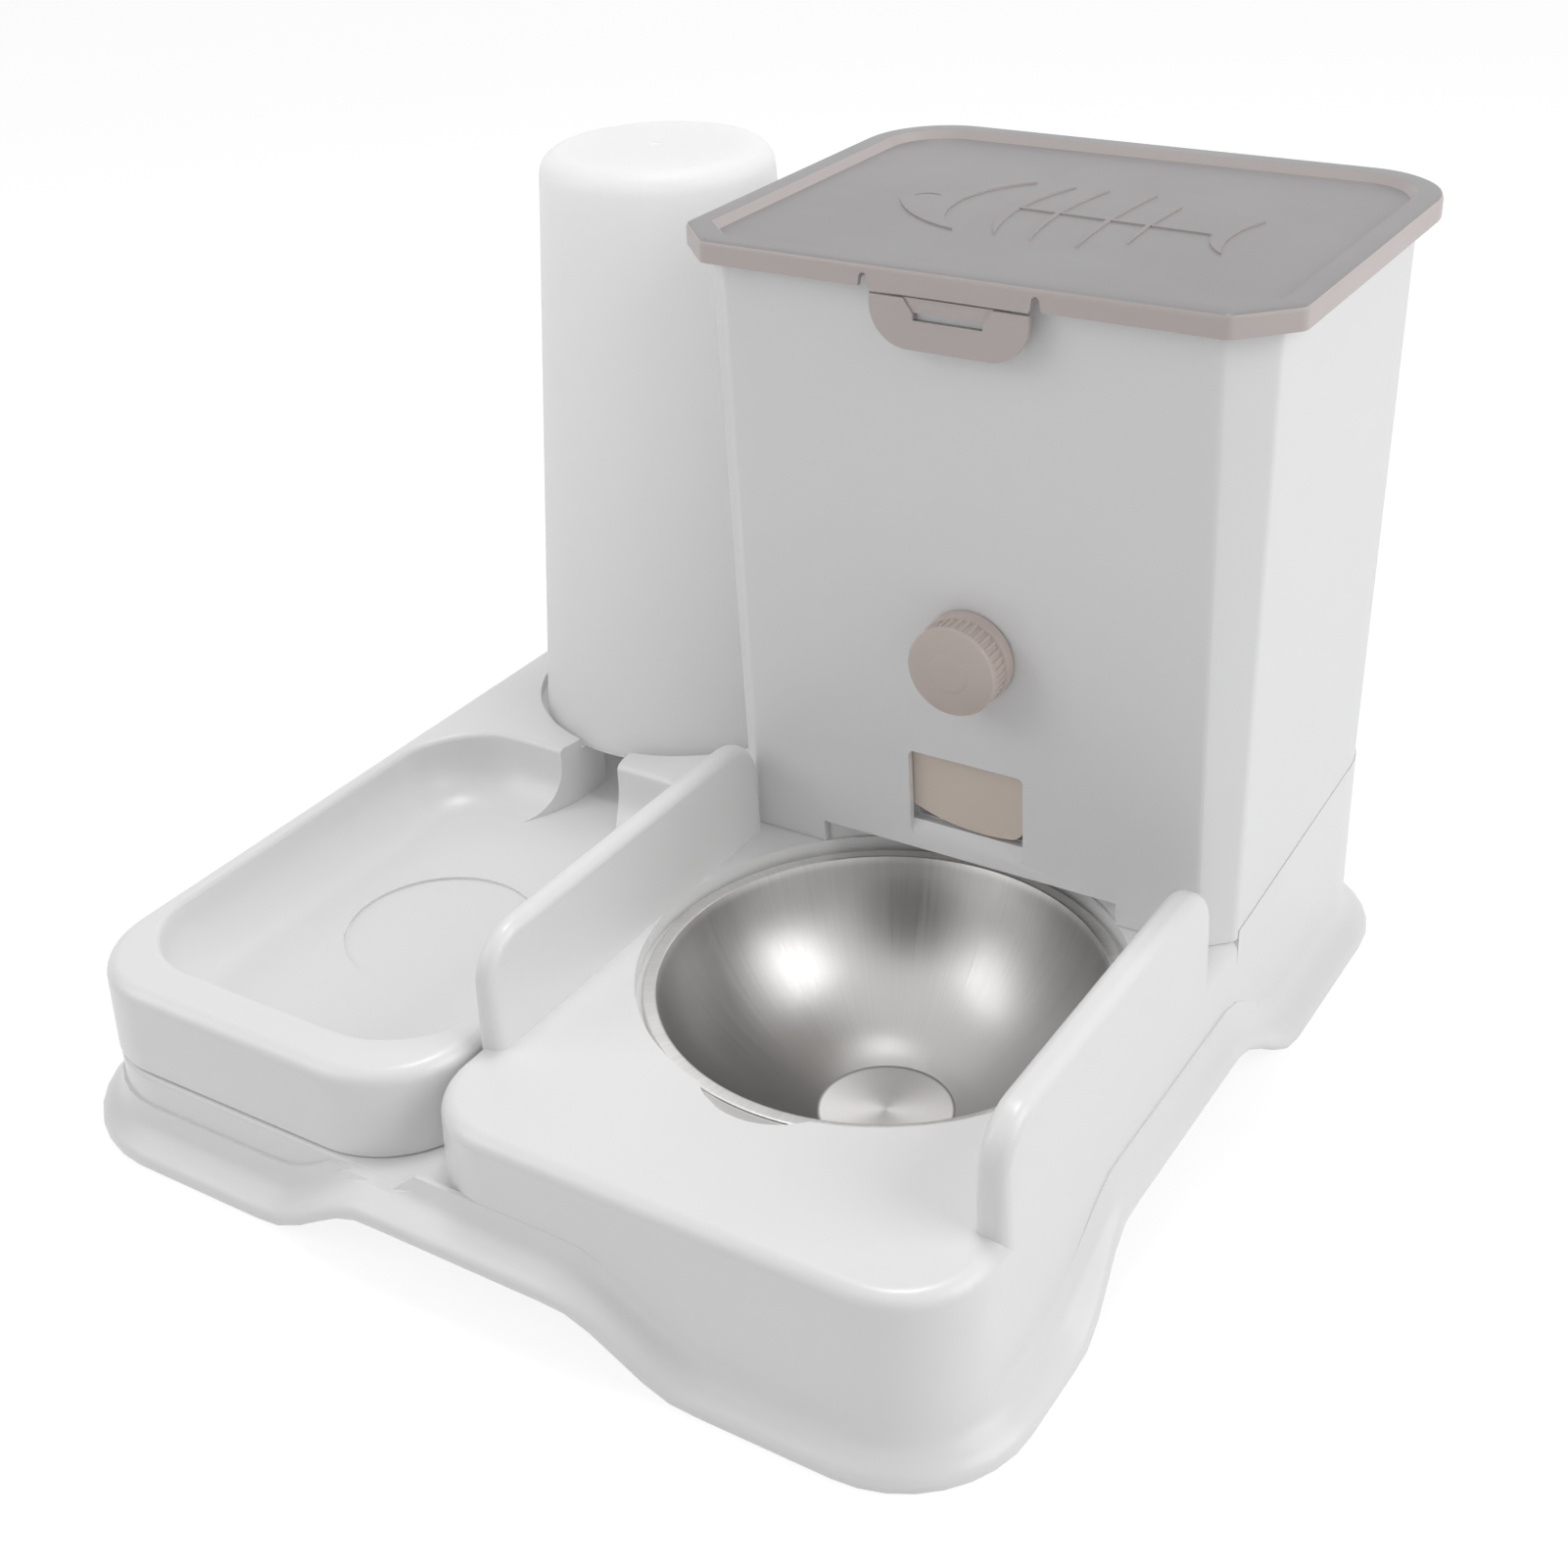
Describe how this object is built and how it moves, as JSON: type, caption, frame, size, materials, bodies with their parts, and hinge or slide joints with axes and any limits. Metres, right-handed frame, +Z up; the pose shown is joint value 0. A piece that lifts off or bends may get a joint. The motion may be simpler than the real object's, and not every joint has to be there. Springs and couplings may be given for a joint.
{
  "type": "pet food and water dispenser",
  "caption": "Gravity food and water station: hopper with a knob-driven gate over a steel bowl, and an inverted bottle over a lift-off drinking tray, on one moulded base.",
  "frame": {"origin": "on the floor under the middle of the base's foot outline", "axes": "+X to the right of a user who faces the bowls, +Y to the back, +Z up"},
  "size_m": [0.3198, 0.3192, 0.248],
  "materials": {
    "white_plastic": "satin",
    "rubber_grey": "matte",
    "steel": "brushed",
    "bottle_plastic": "translucent",
    "silicone": "matte",
    "hopper_plastic": "translucent",
    "screw_steel": "bright",
    "tan_plastic": "translucent",
    "knob_plastic": "translucent",
    "lid_plastic": "translucent"
  },
  "bodies": {
    "station": {"base": "white_plastic", "rubber_feet": "rubber_grey", "food_bowl": "steel", "water_tray": "white_plastic", "water_bottle": "bottle_plastic", "bottle_cap": "white_plastic", "cap_gasket": "silicone", "hopper": "hopper_plastic", "gear_cover": "white_plastic", "cover_screws": "screw_steel", "lid_hinge_pins": "screw_steel"},
    "lid_body": {"lid": "lid_plastic"},
    "flap_body": {"latch_flap": "lid_plastic"},
    "knob_body": {"knob": "knob_plastic", "knob_seal": "silicone", "drive_pinion": "white_plastic", "pinion_screw": "screw_steel"},
    "gate_body": {"outlet_gate": "tan_plastic"},
    "valve_body": {"valve_poppet": "white_plastic", "poppet_seal": "silicone"}
  },
  "joints": [
    {"name": "lid_hinge", "type": "hinge", "parent": "station", "child": "lid_body", "pos_m": [0.0644, 0.15375, 0.239], "axis": [-1, 0, 0], "range_deg": [0, 100]},
    {"name": "flap_hinge", "type": "hinge", "parent": "lid_body", "child": "flap_body", "pos_m": [0.0644, 0.0119, 0.2396], "axis": [-1, 0, 0], "range_deg": [0, 90]},
    {"name": "knob_turn", "type": "hinge", "parent": "station", "child": "knob_body", "pos_m": [0.0668, 0.02037, 0.13436], "axis": [0, 0.9995, 0.0323], "range_deg": [0, 178.5]},
    {"name": "gate_slide", "type": "slide", "parent": "station", "child": "gate_body", "axis": [0, -0.0323, 0.9995], "range_m": [0, 0.025]},
    {"name": "valve_lift", "type": "slide", "parent": "station", "child": "valve_body", "axis": [0, 0, 1], "range_m": [0, 0.002], "stiffness_N_per_m": 120, "springref_m": -0.002}
  ],
  "couplings": [
    {"joint": "gate_slide", "follows": "knob_turn", "m_per_rad": 0.008}
  ]
}
